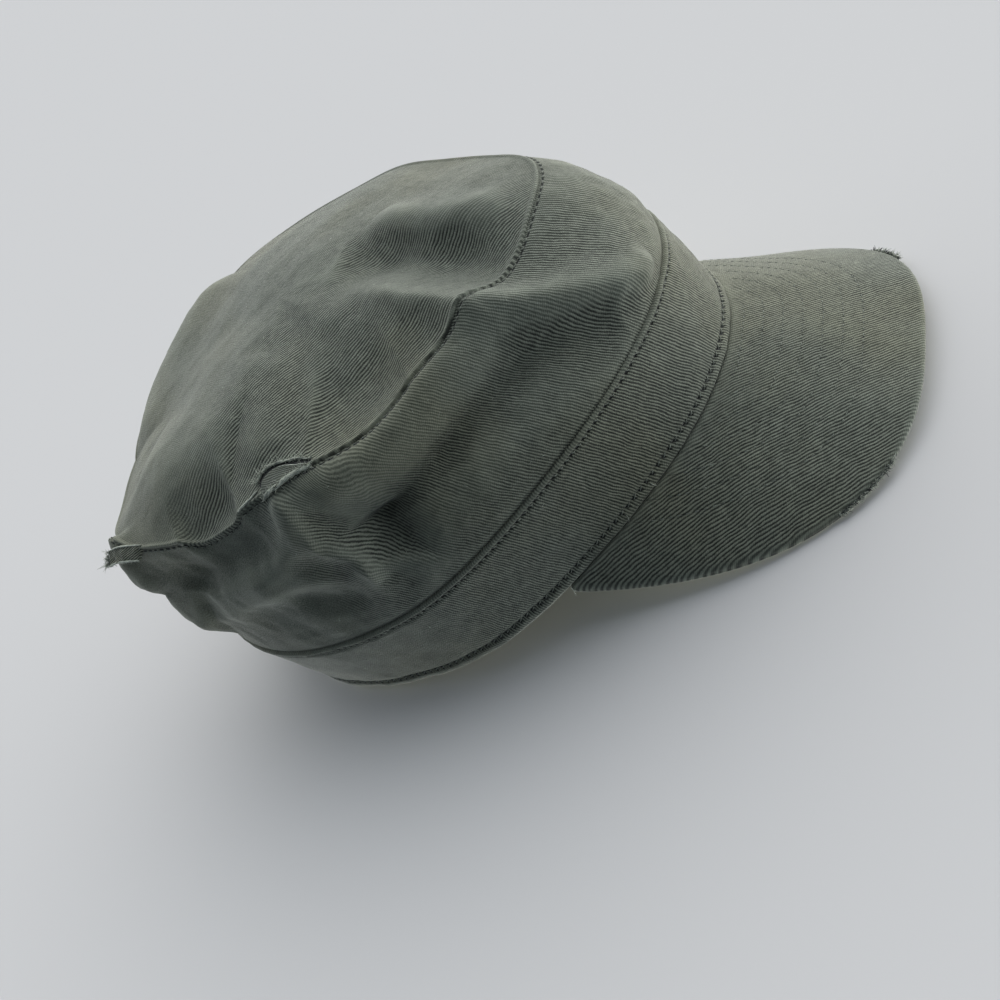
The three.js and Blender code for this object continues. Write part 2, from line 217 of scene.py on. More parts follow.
def plainCrown(angle, level):
    foot, seam = crownFoot(angle), seamPoint(angle)
    climb = np.minimum(level, 1)[..., None]
    swell = 4 * climb[..., 0] * (1 - climb[..., 0]) * crown["height"] * sectionValue("bulge", angle)
    wall = foot + (seam - foot) * climb + radial(angle) * swell[..., None]
    reach = np.minimum(2 - level, 1)[..., None]
    panel = panelMiddle + (seam - panelMiddle) * reach
    panel[..., 2] += crown["dome"] * (1 - reach[..., 0] ** 2)
    return np.where(level[..., None] <= 1, wall, panel)


def curveThrough(stations, steps):
    points = np.array(stations, float)
    points = np.concatenate([[2 * points[0] - points[1]], points, [2 * points[-1] - points[-2]]])
    place = np.linspace(0, len(stations) - 1, steps + 1)
    first = np.minimum(np.floor(place).astype(int), len(stations) - 2)
    share = (place - first)[:, None]
    a, b, c, d = (points[first + step] for step in range(4))
    return b + 0.5 * share * (c - a + share * (2 * a - 5 * b + 4 * c - d + share * (3 * (b - c) + d - a)))


def foldLine(path, steps=60):
    flat = curveThrough([
        ((1 - level / 2) * math.sin(math.radians(angle)), -(1 - level / 2) * math.cos(math.radians(angle)))
        for angle, level in path
    ], steps)
    level = np.clip(2 * (1 - np.hypot(flat[:, 0], flat[:, 1])), 0, 2)
    return plainCrown(np.arctan2(flat[:, 0], -flat[:, 1]), level)


def nearestOn(line, points):
    # distance to the line and the share of its length where it is nearest
    best = np.full(points.shape[:-1], np.inf)
    where = np.zeros(points.shape[:-1])
    for step in range(len(line) - 1):
        start, along = line[step], line[step + 1] - line[step]
        share = np.clip(((points - start) @ along) / max(along @ along, 1e-9), 0, 1)
        distance = np.linalg.norm(points - start - share[..., None] * along, axis=-1)
        closer = distance < best
        best = np.where(closer, distance, best)
        where = np.where(closer, (step + share) / (len(line) - 1), where)
    return best, where


foldLines = [(fold, foldLine(fold["path"])) for fold in folds + fineFolds]


def foldHeight(points):
    height = np.zeros(points.shape[:-1])
    for fold, line in foldLines:
        reach = 3.2 * fold["wide"] * crown["height"]
        low, high = line.min(0) - reach, line.max(0) + reach
        near = ((points > low) & (points < high)).all(-1)
        distance, place = nearestOn(line, points[near])
        strength = 1 - crown["foldFade"] * (2 * place - 1) ** 4
        share = np.exp(-((distance / (fold["wide"] * crown["height"])) ** fold["edge"]))
        height[near] += fold["rise"] * crown["height"] * strength * share
    return height


def crownPoint(angle, level):
    point = plainCrown(angle, level)
    height = foldHeight(point) * smooth(0, crown["foldStart"], level)
    tilt = 0.5 * math.pi * smooth(crown["liftFrom"], crown["liftTo"], level)
    lift = radial(angle) * np.cos(tilt)[..., None]
    lift[..., 2] = np.sin(tilt)
    return point + lift * height[..., None]


# cloth grids and meshes

def softNoise(points, size, seed, waves=14):
    # smooth bumps about `size` mm across, from -1 to 1
    draw = np.random.default_rng(seed)
    total = np.zeros(points.shape[:-1])
    for _ in range(waves):
        direction = draw.normal(size=3)
        direction *= 2 * math.pi / (size * draw.uniform(0.8, 1.7)) / np.linalg.norm(direction)
        total += np.sin(points @ direction + draw.uniform(0, 2 * math.pi))
    return total / math.sqrt(waves / 2) * 0.6


def gridNormals(grid, closed):
    if closed:
        around = np.roll(grid, -1, 1) - np.roll(grid, 1, 1)
    else:
        around = np.gradient(grid, axis=1)
    return unit(np.cross(around, np.gradient(grid, axis=0)))


def blurGrid(grid, passes, closed):
    for _ in range(passes):
        if closed:
            grid = 0.5 * grid + 0.25 * (np.roll(grid, 1, 1) + np.roll(grid, -1, 1))
        else:
            wide = np.concatenate([grid[:, :1], grid, grid[:, -1:]], 1)
            grid = 0.5 * grid + 0.25 * (wide[:, :-2] + wide[:, 2:])
        tall = np.concatenate([grid[:1], grid, grid[-1:]])
        grid = 0.5 * grid + 0.25 * (tall[:-2] + tall[2:])
    return grid


def ridgeMap(grid, normals, passes, closed, scale):
    # 0.5 on even cloth, towards 1 on crests that rub and towards 0 in hollows
    height = ((grid - blurGrid(grid, passes, closed)) * normals).sum(-1)
    return np.clip(0.5 + height / scale, 0, 1)


def arcLengths(grid, axis):
    steps = np.linalg.norm(np.diff(grid, axis=axis), axis=-1)
    start = np.zeros_like(np.take(steps, [0], axis))
    return np.concatenate([start, np.cumsum(steps, axis)], axis)


def gridFaces(rows, columns, closed, first):
    i, j = np.meshgrid(np.arange(rows - 1), np.arange(columns if closed else columns - 1), indexing="ij")
    k = (j + 1) % columns
    corners = np.stack([i * columns + j, i * columns + k, (i + 1) * columns + k, (i + 1) * columns + j], -1)
    wide = columns + 1 if closed else columns
    places = np.stack([i * wide + j, i * wide + j + 1, (i + 1) * wide + j + 1, (i + 1) * wide + j], -1)
    return corners.reshape(-1, 4) + first, places.reshape(-1, 4)


def stripFaces(first, second, closed):
    # a strip of quads between two rows of vertex numbers
    nextFirst, nextSecond = np.roll(first, -1), np.roll(second, -1)
    quads = np.stack([first, nextFirst, nextSecond, second], -1)
    return quads if closed else quads[:-1]


def shellMesh(name, outer, inner, outerMm, innerMm, closed, marks, rowsMm=None):
    # one closed cloth body in the row frame; marks are point values of the outer grid
    rowCount, columns = outer.shape[:2]
    outerCount = rowCount * columns
    points = np.concatenate([outer.reshape(-1, 3), inner.reshape(-1, 3)])
    outerFaces, outerPlaces = gridFaces(rowCount, columns, closed, 0)
    innerFaces, innerPlaces = gridFaces(inner.shape[0], columns, closed, outerCount)
    faces = [outerFaces, innerFaces[:, ::-1]]
    cloth = [outerMm.reshape(-1, 2)[outerPlaces], innerMm.reshape(-1, 2)[innerPlaces][:, ::-1]]
    rows = (outerMm if rowsMm is None else rowsMm).reshape(-1, 2)[outerPlaces]
    outerNumbers = np.arange(outerCount).reshape(rowCount, columns)
    innerNumbers = np.arange(outerCount, len(points)).reshape(inner.shape[:2])
    for row, flip in ((0, True), (-1, False)):
        quads = stripFaces(outerNumbers[row], innerNumbers[row], closed)
        edge = outerMm[row]
        places = np.stack([edge[:-1], edge[1:], edge[1:], edge[:-1]], 1)
        faces.append(quads[:, ::-1] if flip else quads)
        cloth.append(places[:, ::-1] if flip else places)
    if not closed:
        for column, flip in ((0, False), (-1, True)):
            quads = stripFaces(outerNumbers[:, column], innerNumbers[:, column], False)
            edge = outerMm[:, column]
            places = np.stack([edge[:-1], edge[1:], edge[1:], edge[:-1]], 1)
            faces.append(quads[:, ::-1] if flip else quads)
            cloth.append(places[:, ::-1] if flip else places)
    faces, cloth = np.concatenate(faces), np.concatenate(cloth)
    rows = np.concatenate([rows, np.full((len(faces) - len(rows), 4, 2), -90.0)])
    a, b, c, d = (points[faces[:, corner]] for corner in range(4))
    volume = (np.cross(b - a, c - a) * a).sum() + (np.cross(c - a, d - a) * a).sum()
    if volume < 0:
        faces, cloth, rows = faces[:, ::-1], cloth[:, ::-1], rows[:, ::-1]
    mesh = bpy.data.meshes.new(name)
    mesh.from_pydata(toRow(points).tolist(), [], faces.tolist())
    for layerName, places in (("cloth", cloth), ("rows", rows)):
        layer = mesh.uv_layers.new(name=layerName)
        layer.data.foreach_set("uv", np.ascontiguousarray(places, dtype=np.float32).ravel())
    for mark, grid in marks.items():
        values = np.full(len(points), 0.5 if mark == "ridge" else 0.0, np.float32)
        values[:outerCount] = grid.ravel()
        mesh.attributes.new(mark, "FLOAT", "POINT").data.foreach_set("value", values)
    cleaner = bmesh.new()
    cleaner.from_mesh(mesh)
    bmesh.ops.remove_doubles(cleaner, verts=cleaner.verts, dist=2e-5)
    bmesh.ops.dissolve_degenerate(cleaner, edges=cleaner.edges, dist=1e-6)
    cleaner.to_mesh(mesh)
    cleaner.free()
    mesh.shade_smooth()
    mesh.set_sharp_from_angle(angle=math.radians(60))
    return mesh


def addPiece(name, mesh, material, slot, *nodes):
    piece = bpy.data.objects.new(name, mesh)
    bpy.context.scene.collection.objects.link(piece)
    mesh.materials.append(material)
    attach(piece, "root")
    if nodes:
        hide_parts(*nodes)
    return piece


# twill

class Nodes:
    # short names for the node links that every material here uses
    def __init__(self, tree):
        self.tree = tree

    def add(self, kind, values=(), **settings):
        node = self.tree.nodes.new(kind)
        for key, value in settings.items():
            setattr(node, key, value)
        for key, value in dict(values).items():
            if isinstance(value, bpy.types.NodeSocket):
                self.tree.links.new(value, node.inputs[key])
            else:
                node.inputs[key].default_value = value
        return node

    def math(self, operation, *values):
        return self.add("ShaderNodeMath", dict(enumerate(values)), operation=operation).outputs[0]

    def ramp(self, value, fromLow, fromHigh, toLow=0.0, toHigh=1.0, kind="SMOOTHSTEP"):
        return self.add("ShaderNodeMapRange", {0: value, 1: fromLow, 2: fromHigh, 3: toLow, 4: toHigh},
                        interpolation_type=kind).outputs[0]

    def noise(self, vector, scale, detail=2.0, roughness=0.5):
        return self.add("ShaderNodeTexNoise", {"Vector": vector, "Scale": scale, "Detail": detail,
                                               "Roughness": roughness}).outputs[0]

    def mix(self, share, first, second, blend="MIX"):
        node = self.add("ShaderNodeMix", {0: share}, data_type="RGBA", blend_type=blend)
        for socket, value in ((node.inputs[6], first), (node.inputs[7], second)):
            if isinstance(value, bpy.types.NodeSocket):
                self.tree.links.new(value, socket)
            else:
                socket.default_value = (*value, 1)
        return node.outputs[2]


twill = {
    "period": 0.87,            # across the wales, mm
    # groove is drawn far darker than ridge: partly the yarn's own tone, partly painted shade between the wales
    "groove": (0.028, 0.030, 0.025),
    "ridge": (0.196, 0.207, 0.166),
    # colour of rubbed crests, also the painted highlight along the panel's and band's seam edges
    "rubbedAndHighlight": (0.205, 0.218, 0.176),
    "cool": (0.98, 1.0, 1.01),
    "warm": (1.04, 1.015, 0.93),
    "lint": (0.34, 0.36, 0.33),
    "waleHigh": 0.15,         # mm
    "roughness": 0.92,
    "sheen": 0.12,
}


def twillMaterial(name, turn, rows=(), look=None):
    # turn: direction of the wales in the cloth's own mm, in degrees
    # rows: stitch rows of the "rows" map, place and sizes in mm; "dark" is how strongly the needle holes are darkened
    # with painted shade
    look = {**twill, **(look or {})}
    material = bpy.data.materials.new(name)
    material.use_nodes = True
    n = Nodes(material.node_tree)
    shader = material.node_tree.nodes["Principled BSDF"]
    cloth = n.add("ShaderNodeUVMap", uv_map="cloth").outputs[0]
    wobble = n.add("ShaderNodeTexNoise", {"Vector": cloth, "Scale": 0.11, "Detail": 2.0}).outputs[1]
    bent = n.add("ShaderNodeVectorMath", {0: wobble, 1: (0.5, 0.5, 0.5)}, operation="SUBTRACT").outputs[0]
    bent = n.add("ShaderNodeVectorMath", {0: bent, "Scale": 1.6}, operation="SCALE").outputs[0]
    bent = n.add("ShaderNodeVectorMath", {0: cloth, 1: bent}, operation="ADD").outputs[0]
    turned = n.add("ShaderNodeMapping", {0: bent, "Rotation": (0, 0, -math.radians(turn))}).outputs[0]
    split = n.add("ShaderNodeSeparateXYZ", {0: turned})
    along, across = split.outputs[0], split.outputs[1]
    wave = n.math("SINE", n.math("MULTIPLY", across, 2 * math.pi / look["period"]))
    # each wale is broken into short floats
    stretched = n.add("ShaderNodeCombineXYZ", {0: n.math("MULTIPLY", along, 0.42),
                                               1: n.math("MULTIPLY", across, 1.1)}).outputs[0]
    floats = n.noise(stretched, 1.0, 3.0, 0.6)
    yarn = n.math("SINE", n.math("ADD", n.math("MULTIPLY", along, 2 * math.pi / 0.62),
                                 n.math("MULTIPLY", across, 2 * math.pi / (2 * look["period"]))))
    grain = n.math("SUBTRACT", n.noise(cloth, 2.3, 2.0, 0.6), 0.5)
    wale = n.ramp(n.math("ADD", wave, n.math("ADD", n.math("MULTIPLY", n.math("SUBTRACT", floats, 0.5), 2.6),
                                                n.math("MULTIPLY", grain, 2.4))), -1.1, 1.2)
    patch = n.noise(cloth, 0.05, 4.0, 0.62)
    fine = n.noise(cloth, 0.9, 3.0, 0.6)
    ridge = n.add("ShaderNodeAttribute", attribute_name="ridge").outputs["Fac"]
    # crests of the ridge map and worn patches take the rubbed colour; on the panel and band the ridge map also holds a
    # painted highlight along the seam edge
    rubbedAndHighlight = n.math("ADD", n.ramp(ridge, 0.52, 0.85), n.ramp(patch, 0.55, 0.75, 0.0, 0.35))
    rubbedAndHighlight = n.math("MINIMUM", n.math("MULTIPLY", rubbedAndHighlight, n.ramp(fine, 0.2, 0.6, 0.6, 1.0)), 1.0)
    plain = n.add("ShaderNodeAttribute", attribute_name="plain").outputs["Fac"]
    contrast = n.math("SUBTRACT", 1.0, n.math("MAXIMUM", n.math("MULTIPLY", rubbedAndHighlight, 0.3),
                                              plain))
    level = n.math("ADD", n.math("MULTIPLY", n.math("SUBTRACT", wale, 0.5), contrast), 0.5)
    level = n.math("ADD", level, n.math("MULTIPLY", grain, n.math("MULTIPLY", plain, 1.6)))
    # the colour follows the wale profile, dark in the grooves: partly the yarn's own tone, partly painted shade
    color = n.mix(level, look["groove"], look["ridge"])
    color = n.mix(n.math("MULTIPLY", rubbedAndHighlight, 0.3), color, look["rubbedAndHighlight"])
    place = n.add("ShaderNodeNewGeometry").outputs[0]
    tone = n.noise(place, 14.0, 3.0, 0.55)
    color = n.mix(1.0, color, n.mix(n.ramp(tone, 0.35, 0.65), look["cool"], look["warm"]), "MULTIPLY")
    shade = n.ramp(n.noise(cloth, 0.16, 4.0, 0.65), 0.25, 0.75, 0.88, 1.12)
    color = n.mix(1.0, color, n.add("ShaderNodeCombineColor", {0: shade, 1: shade, 2: shade}).outputs[0], "MULTIPLY")
    specks = n.ramp(n.noise(cloth, 1.35, 2.0, 0.5), 0.72, 0.78)
    color = n.mix(n.math("MULTIPLY", specks, 0.6), color, look["lint"])
    height = n.math("MULTIPLY", level, look["waleHigh"])
    height = n.math("ADD", height, n.math("MULTIPLY", yarn, 0.02))
    height = n.math("ADD", height, n.math("MULTIPLY", fine, 0.08))
    height = n.math("ADD", height, n.math("MULTIPLY", n.noise(cloth, 0.28, 3.0, 0.55), 0.28))
    sewn = n.add("ShaderNodeSeparateXYZ", {0: n.add("ShaderNodeUVMap", uv_map="rows").outputs[0]})
    uneven = n.math("MULTIPLY", n.math("SUBTRACT", n.noise(cloth, 0.35), 0.5), 1.2)
    for row in rows:
        beside = n.math("SUBTRACT", sewn.outputs[1], row["place"])
        moved = n.math("ADD", sewn.outputs[0], n.math("MULTIPLY", beside, row["slant"]))
        phase = n.math("PINGPONG", n.math("ADD", moved, uneven), row["pitch"] / 2)
        half = row["dash"] / 2
        # each needle hole is a small dent in the bump, and its colour is pulled towards black: painted shade
        holeDentAndShade = n.math("MULTIPLY", n.ramp(n.math("ABSOLUTE", beside), row["wide"], 0.35 * row["wide"]),
                      n.ramp(phase, half + 0.18, half - 0.12))
        holeDentAndShade = n.math("MULTIPLY", holeDentAndShade, row["dark"])
        color = n.mix(holeDentAndShade, color, (0.004, 0.005, 0.005))
        height = n.math("SUBTRACT", height, n.math("MULTIPLY", holeDentAndShade, 0.5))
    bump = n.add("ShaderNodeBump", {"Height": height, "Strength": 1.0, "Distance": 0.001})
    n.tree.links.new(color, shader.inputs["Base Color"])
    n.tree.links.new(bump.outputs[0], shader.inputs["Normal"])
    n.tree.links.new(n.ramp(fine, 0.3, 0.7, look["roughness"] - 0.08, look["roughness"] + 0.06),
                     shader.inputs["Roughness"])
    shader.inputs["Specular IOR Level"].default_value = 0.25
    shader.inputs["Sheen Weight"].default_value = look["sheen"]
    shader.inputs["Sheen Roughness"].default_value = 0.45
    return material


def threadMaterial(name, color):
    material = bpy.data.materials.new(name)
    material.use_nodes = True
    n = Nodes(material.node_tree)
    shader = material.node_tree.nodes["Principled BSDF"]
    place = n.add("ShaderNodeTexCoord").outputs["Object"]
    tone = n.ramp(n.noise(place, 900.0, 2.0), 0.3, 0.7, 0.65, 1.25)
    tint = n.add("ShaderNodeCombineColor", {0: tone, 1: tone, 2: tone}).outputs[0]
    n.tree.links.new(n.mix(1.0, color, tint, "MULTIPLY"), shader.inputs["Base Color"])
    twist = n.add("ShaderNodeTexWave", {"Vector": place, "Scale": 900.0, "Distortion": 2.0}).outputs["Fac"]
    bump = n.add("ShaderNodeBump", {"Height": twist, "Strength": 0.5, "Distance": 0.0001})
    n.tree.links.new(bump.outputs[0], shader.inputs["Normal"])
    n.tree.links.new(n.ramp(tone, 0.65, 1.25, 0.7, 0.9), shader.inputs["Roughness"])
    return material


def wornSmooth(angle, start, end):
    # the weave is worn smooth from the left side round the back
    degrees = np.degrees(angle)
    return np.maximum(smooth(start, end, degrees), smooth(120, 165, degrees))


# crown wall

wallLook = {"turn": -80, "coneRadius": 286, "seamDip": 0.7, "seamDipWide": 1.3, "footPinch": 0.6, "footPinchWide": 1.0,
            "crumple": 0.35, "crumpleSize": 16, "plain": 0.92}


def unevenShares(count, ends, endRows):
    # shares from 0 to 1 with endRows extra fine rows inside `ends` of either end
    fine = np.linspace(0, ends, endRows + 1)
    middle = np.linspace(ends, 1 - ends, count - 2 * endRows + 1)
    return np.concatenate([fine[:-1], middle, 1 - fine[::-1][1:]])


def mmGrid(u, v):
    return np.stack([u, v], -1)


def roundAngles(count):
    return np.linspace(-math.pi, math.pi, count, endpoint=False)


angles = roundAngles(crown["columns"])
wallLevels = unevenShares(crown["wallRows"], 0.05, 7)
angleGrid, levelGrid = np.meshgrid(angles, wallLevels)
wallOuter = crownPoint(angleGrid, levelGrid)
seamLine = crownPoint(angles, np.ones_like(angles))
wallNormals = gridNormals(wallOuter, True)
rimLine = rimPoint(np.append(angles, math.pi))
rimArc = arcLengths(rimLine, 0)
rimArc -= np.interp(0, np.append(angles, math.pi), rimArc)
wallHeights = arcLengths(wallOuter, 0)
toSeam = wallHeights[-1] - wallHeights
shift = -wallLook["seamDip"] * np.exp(-(toSeam / wallLook["seamDipWide"]) ** 2)
shift -= wallLook["footPinch"] * np.exp(-(wallHeights / wallLook["footPinchWide"]) ** 2)
inside = smooth(0, 6, wallHeights) * smooth(0, 5, toSeam)
shift += wallLook["crumple"] * softNoise(wallOuter, wallLook["crumpleSize"], 3) * inside
shift += 0.12 * softNoise(wallOuter, 5, 4) * inside
wallOuter = wallOuter + wallNormals * shift[..., None]
wallNormals = gridNormals(wallOuter, True)
innerPick = np.unique(np.linspace(0, len(wallLevels) - 1, crown["innerRows"]).astype(int))
wallInner = (wallOuter - wallNormals * crown["wall"])[innerPick]


def conePattern(arc, height, radius):
    turn = arc / radius
    return mmGrid((radius - height) * np.sin(turn), radius - (radius - height) * np.cos(turn))


wideHeights = np.concatenate([wallHeights, wallHeights[:, :1]], 1)
wideArc = np.broadcast_to(rimArc, wideHeights.shape)
wallMm = conePattern(wideArc, wideHeights, wallLook["coneRadius"])
seamArc = arcLengths(np.concatenate([wallOuter[-1], wallOuter[-1, :1]]), 0)
wallRowsMm = mmGrid(np.broadcast_to(seamArc, wideHeights.shape), np.concatenate([toSeam, toSeam[:, :1]], 1))
wallMesh = shellMesh("crownWall", wallOuter, wallInner, wallMm, wallMm[innerPick], True,
                     {"ridge": ridgeMap(wallOuter, wallNormals, 40, True, 2.2),
                      "plain": wallLook["plain"] * wornSmooth(angleGrid, -88, -100)}, wallRowsMm)
# "dark" darkens the needle holes beside the top seam: painted shade
wallRows = [{"place": 1.4, "pitch": 2.85, "dash": 1.6, "wide": 0.42, "slant": 0, "dark": 0.85}]
wallCloth = addPiece("crownWall", wallMesh, twillMaterial("crownWallTwill", wallLook["turn"], wallRows),
                     "crown_twill", "crown_side")
print("stage: crown wall", len(wallMesh.polygons))

# top panel

panelLook = {"turn": -52, "edgeHigh": 0.55, "edgeWide": 0.6, "crumple": 0.35,
             "crumpleSize": 22, "plain": 0.85}

panelLevels = 2 - np.concatenate([np.linspace(1, 0.975, 7)[:-1], np.linspace(0.975, 0, crown["panelRows"] - 5)])
angleGrid, levelGrid = np.meshgrid(angles, panelLevels)
panelOuter = crownPoint(angleGrid, levelGrid)
panelNormals = gridNormals(panelOuter, True)
panelNormals[-1] = (0, 0, 1)
fromSeam = arcLengths(panelOuter, 0)
shift = panelLook["edgeHigh"] * np.exp(-((fromSeam - 0.55) / panelLook["edgeWide"]) ** 2)
inside = smooth(0, 8, fromSeam)
shift += panelLook["crumple"] * softNoise(panelOuter, panelLook["crumpleSize"], 11) * inside
shift += 0.10 * softNoise(panelOuter, 6, 12) * inside
panelOuter = panelOuter + panelNormals * shift[..., None]
innerPick = np.unique(np.linspace(0, len(panelLevels) - 1, crown["innerRows"]).astype(int))
panelInner = (panelOuter - panelNormals * crown["wall"])[innerPick]
panelWide = np.concatenate([panelOuter, panelOuter[:, :1]], 1)
panelMm = panelWide[..., :2]
# the ridge mark gets a thin raised line along the seam edge: a painted highlight where the rolled edge catches the
# light
panelMesh = shellMesh("topPanel", panelOuter, panelInner, panelMm, panelMm[innerPick], True,
                      {"ridge": np.clip(ridgeMap(panelOuter, panelNormals, 40, True, 2.2)
                                        + 0.5 * np.exp(-((fromSeam - 0.45) / 0.55) ** 2), 0, 1),
                       "plain": panelLook["plain"] * wornSmooth(angleGrid, -110, -130)
                       * smooth(0, 0.3, 2 - levelGrid)})
panelCloth = addPiece("topPanel", panelMesh, twillMaterial("topPanelTwill", panelLook["turn"]), "crown_twill", "crown_top")
print("stage: top panel", len(panelMesh.polygons))

# band

bandLook = {"turn": -70, "plain": 0.7}

bandHeights = band["height"] * unevenShares(band["rows"], 0.16, 13)
angleGrid, heightGrid = np.meshgrid(roundAngles(band["columns"]), bandHeights)
bandOuter = bandPoint(angleGrid, heightGrid)
bandNormals = gridNormals(bandOuter, True)
fromTop = band["height"] - heightGrid
shift = -band["grooveDeep"] * np.exp(-((heightGrid - band["hemHeight"]) / band["grooveWide"]) ** 2)
shift -= band["grooveDeep"] * np.exp(-((fromTop - band["topHeight"]) / band["grooveWide"]) ** 2)
shift += band["hemFull"] * np.exp(-((heightGrid - 1.8) / 1.4) ** 4)
shift += 0.25 * np.exp(-((fromTop - 0.7) / 0.5) ** 2)
shift -= 0.5 * np.exp(-(fromTop / 0.35) ** 2) + 0.5 * np.exp(-(heightGrid / 0.4) ** 2)
shift += 0.22 * softNoise(bandOuter, 18, 21) + 0.08 * softNoise(bandOuter, 5, 22)
bandOuter = bandOuter + bandNormals * shift[..., None]
bandNormals = gridNormals(bandOuter, True)
innerPick = np.unique(np.linspace(0, len(bandHeights) - 1, band["innerRows"]).astype(int))
bandBack = bandPoint(angleGrid, heightGrid) - rimOutward(angleGrid) * band["wall"]
wideBand = np.concatenate([heightGrid, heightGrid[:, :1]], 1)
bandMm = mmGrid(np.broadcast_to(rimArc, wideBand.shape), wideBand)
# "dark" darkens the needle holes of the hem and top rows: painted shade
bandRows = [
    {"place": band["hemHeight"] - 0.3, "pitch": 2.9, "dash": 0.8, "wide": 0.75, "slant": 0.9, "dark": 0.9},
    {"place": band["height"] - band["topHeight"], "pitch": 2.75, "dash": 0.9, "wide": 0.55, "slant": 0.5, "dark": 0.9},
]
# the ridge mark is raised along the band's top edge: a painted highlight on the folded edge
bandMesh = shellMesh("bandCloth", bandOuter, bandBack[innerPick], bandMm, bandMm[innerPick], True,
                     {"ridge": np.clip(ridgeMap(bandOuter, bandNormals, 12, True, 1.6)
                                       + 0.3 * np.exp(-(fromTop / 0.9) ** 2), 0, 1),
                      "plain": bandLook["plain"] * wornSmooth(angleGrid, -72, -92)})
bandCloth = addPiece("bandCloth", bandMesh, twillMaterial("bandTwill", bandLook["turn"], bandRows),
                     "band_twill", "band")
print("stage: band", len(bandMesh.polygons))

# peak

peak = {
    "depth": 55.6, "droop": 34, "halfAngle": 56, "fullness": 2.7, "wall": 3.2, "tuck": 2, "gap": 0.3,
    "turns": 220, "rows": 64, "edgeRound": 1.3,
    "stitchFirst": 17.5, "stitchSpace": 5.8, "stitchRows": 7, "turn": 61,
}


def peakEdge(turn):
    corner = rimPoint(np.array([math.radians(peak["halfAngle"])]))[0]
    bow = 2 / peak["fullness"]
    sweep = turn * math.pi / 2
    reach = rim["length"] / 2 + peak["depth"] * math.cos(math.radians(peak["droop"])) + corner[1]
    start = rimPoint(turn * math.radians(peak["halfAngle"]))
    x = corner[0] * np.sign(sweep) * np.abs(np.sin(sweep)) ** bow
    y = corner[1] - reach * np.maximum(np.cos(sweep), 0) ** bow
    z = start[..., 2] - peak["gap"] - math.tan(math.radians(peak["droop"])) * (start[..., 1] - y)
    return np.stack([x, y, z], -1)


turns = np.sin(np.linspace(-math.pi / 2, math.pi / 2, peak["turns"])) * 0.45
turns = turns + np.linspace(-1, 1, peak["turns"]) * 0.55
edgeLine = peakEdge(turns)
startLine = rimPoint(turns * math.radians(peak["halfAngle"])) - np.array([0, 0, peak["gap"]])
tuckLine = startLine - rimOutward(turns * math.radians(peak["halfAngle"])) * peak["tuck"]
peakShares = np.concatenate([np.linspace(0, 0.94, peak["rows"] - 13)[:-1], 0.94 + 0.06 * np.sin(np.linspace(0, math.pi / 2, 14))])
peakTop = startLine + (edgeLine - startLine) * peakShares[:, None, None]
peakTop = np.concatenate([tuckLine[None], peakTop])
through = np.array([0, math.sin(math.radians(peak["droop"])), -math.cos(math.radians(peak["droop"]))])
peakUnder = peakTop + through * peak["wall"]


def distanceToEdge(points):
    best, _ = nearestOn(edgeLine, points)
    return best


fromEdge = distanceToEdge(peakTop)
rounding = peak["edgeRound"]
drop = rounding - np.sqrt(np.maximum(rounding ** 2 - np.maximum(rounding - fromEdge, 0) ** 2, 0))
stitched = np.zeros_like(fromEdge)
for step in range(peak["stitchRows"]):
    stitched += 0.4 * np.exp(-((fromEdge - peak["stitchFirst"] - step * peak["stitchSpace"]) / 0.8) ** 2)
stitched *= smooth(3, 8, np.linalg.norm(peakTop - startLine, axis=-1))
sway = 0.35 * softNoise(peakTop, 30, 31) * smooth(0, 10, np.linalg.norm(peakTop - startLine, axis=-1))
peakTop = peakTop + through * (drop + 0.22 * stitched - sway)[..., None]
peakUnder = peakUnder - through * (drop + 0.22 * stitched)[..., None]
across = -peakTop @ np.array([0, math.cos(math.radians(peak["droop"])), math.sin(math.radians(peak["droop"]))])
peakMm = mmGrid(peakTop[..., 0], across)
edgeArc = arcLengths(edgeLine, 0)
peakRowsMm = mmGrid(np.broadcast_to(edgeArc * 0.7, fromEdge.shape), fromEdge)
peakNormals = -gridNormals(peakTop, False)
peakMesh = shellMesh("peakBoard", peakTop, peakUnder, peakMm, peakMm, False,
                     {"ridge": np.clip(ridgeMap(peakTop, peakNormals, 14, False, 1.2)
                                       + 0.15 * np.exp(-(fromEdge / 1.2) ** 2), 0, 1)}, peakRowsMm)
# "dark" darkens the peak's needle holes a little: painted shade
peakRows = [{"place": peak["stitchFirst"] + step * peak["stitchSpace"], "pitch": 2.6, "dash": 0.8, "wide": 0.35,
             "slant": 0, "dark": 0.3} for step in range(peak["stitchRows"])]
peakBoard = addPiece("peakBoard", peakMesh, twillMaterial("peakTwill", peak["turn"], peakRows), "peak_twill", "peak")
print("stage: peak", len(peakMesh.polygons))

# stitches, frays and loose threads

